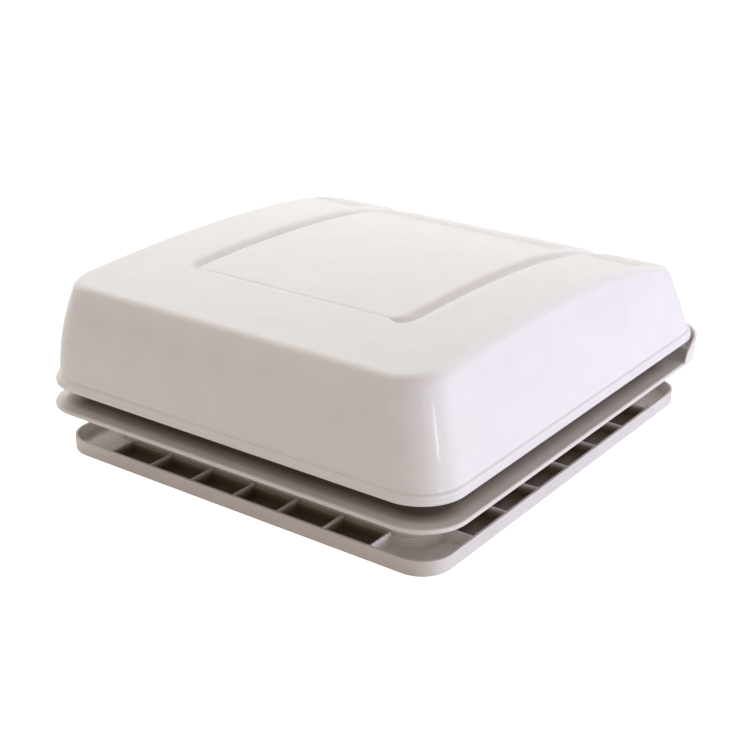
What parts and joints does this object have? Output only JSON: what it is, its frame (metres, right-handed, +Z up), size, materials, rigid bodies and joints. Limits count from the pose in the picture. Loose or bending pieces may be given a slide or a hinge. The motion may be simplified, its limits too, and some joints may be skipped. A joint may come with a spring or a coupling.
{
  "type": "roof hatch",
  "caption": "Crank operated roof hatch for a caravan or camper with a deep arched white lid, a flanged outer frame with a rear cowl and a ribbed inner frame.",
  "frame": {"origin": "middle of the square roof cut-out, in the plane where the outer flange sits on the roof", "axes": "+Z up out of the roof, +Y to the hinge side, +X to the right seen from the front"},
  "size_m": [0.4972, 0.5419, 0.194],
  "materials": {
    "lid_plastic": "gloss, thermoformed",
    "pan_plastic": "satin gloss",
    "frame_plastic": "moulded, fine satin",
    "trim_plastic": "moulded, fine satin",
    "crank_plastic": "moulded, satin",
    "nylon": "machined, natural",
    "seal_rubber": "dull",
    "mesh": "woven net, coated",
    "zinc_steel": "bright zinc",
    "stainless": "turned, bright",
    "zinc_sheet": "zinc plated sheet",
    "machined_steel": "machined, oiled",
    "die_cast": "die cast, satin",
    "rivet_aluminium": "bright",
    "gear_brass": "cut, bright"
  },
  "bodies": {
    "frame": {"outer_frame": "frame_plastic", "frame_neck": "frame_plastic", "frame_ribs": "frame_plastic", "rear_cowl": "frame_plastic", "inner_frame": "frame_plastic", "clamp_screws": "zinc_steel", "upstand_seal": "seal_rubber", "hinge_pin_left": "stainless", "hinge_pin_right": "stainless", "hinge_clips": "stainless", "operator_bracket": "zinc_sheet", "bracket_screws": "zinc_steel", "gear_case": "die_cast", "gear_case_cover": "die_cast", "case_screws": "zinc_steel", "shaft_bushes": "nylon", "worm_bushes": "nylon", "operator_trim": "trim_plastic", "trim_screws": "zinc_steel", "fly_screen_frame": "trim_plastic", "fly_screen_mesh": "mesh", "screen_spline": "seal_rubber", "clip_screws": "zinc_steel"},
    "lid": {"lid_dome": "lid_plastic", "lid_inner_pan": "pan_plastic", "hinge_bracket_left": "die_cast", "hinge_bracket_right": "die_cast", "hinge_screws": "zinc_steel", "lift_rail": "zinc_sheet", "rail_rivets": "rivet_aluminium"},
    "arm": {"lift_arm": "zinc_sheet", "arm_shaft": "stainless", "worm_wheel": "gear_brass", "shoe_pin": "stainless", "shaft_clip": "stainless"},
    "shoe": {"slider_shoe": "nylon"},
    "crank": {"worm_shaft": "machined_steel", "crank_arm": "crank_plastic", "crank_screw": "zinc_steel"},
    "spindle": {"grip_spindle": "stainless", "grip_fold_pin": "stainless"},
    "grip": {"crank_grip": "crank_plastic"},
    "clip_left": {"screen_clip_left": "crank_plastic"},
    "clip_right": {"screen_clip_right": "crank_plastic"}
  },
  "joints": [
    {"name": "lid_hinge", "type": "hinge", "parent": "frame", "child": "lid", "pos_m": [0, 0.268, 0.034], "axis": [-1, 0, 0], "range_deg": [0, 50]},
    {"name": "arm_turn", "type": "hinge", "parent": "frame", "child": "arm", "pos_m": [0, 0.135, 0.005], "axis": [-1, 0, 0], "range_deg": [0, 100]},
    {"name": "shoe_turn", "type": "hinge", "parent": "arm", "child": "shoe", "pos_m": [0, 0.01094, 0.06102], "axis": [-1, 0, 0], "range_deg": [-50, 0]},
    {"name": "crank_turn", "type": "hinge", "parent": "frame", "child": "crank", "pos_m": [-0.014, 0.113, -0.02], "axis": [0, 0, -1], "range_deg": [0, 2000]},
    {"name": "grip_fold", "type": "hinge", "parent": "crank", "child": "spindle", "pos_m": [0.028, 0.113, -0.0455], "axis": [0, -1, 0], "range_deg": [0, 90]},
    {"name": "grip_spin", "type": "hinge", "parent": "spindle", "child": "grip", "pos_m": [0.01, 0.113, -0.0455], "axis": [1, 0, 0], "continuous": true},
    {"name": "clip_left_turn", "type": "hinge", "parent": "frame", "child": "clip_left", "pos_m": [-0.187, 0.04, -0.0506], "axis": [0, 0, 1], "range_deg": [0, 90]},
    {"name": "clip_right_turn", "type": "hinge", "parent": "frame", "child": "clip_right", "pos_m": [0.187, 0.04, -0.0506], "axis": [0, 0, -1], "range_deg": [0, 90]}
  ],
  "couplings": [
    {"joint": "arm_turn", "follows": "lid_hinge", "ratio": 2},
    {"joint": "shoe_turn", "follows": "lid_hinge", "ratio": -1},
    {"joint": "crank_turn", "follows": "lid_hinge", "ratio": 40}
  ]
}
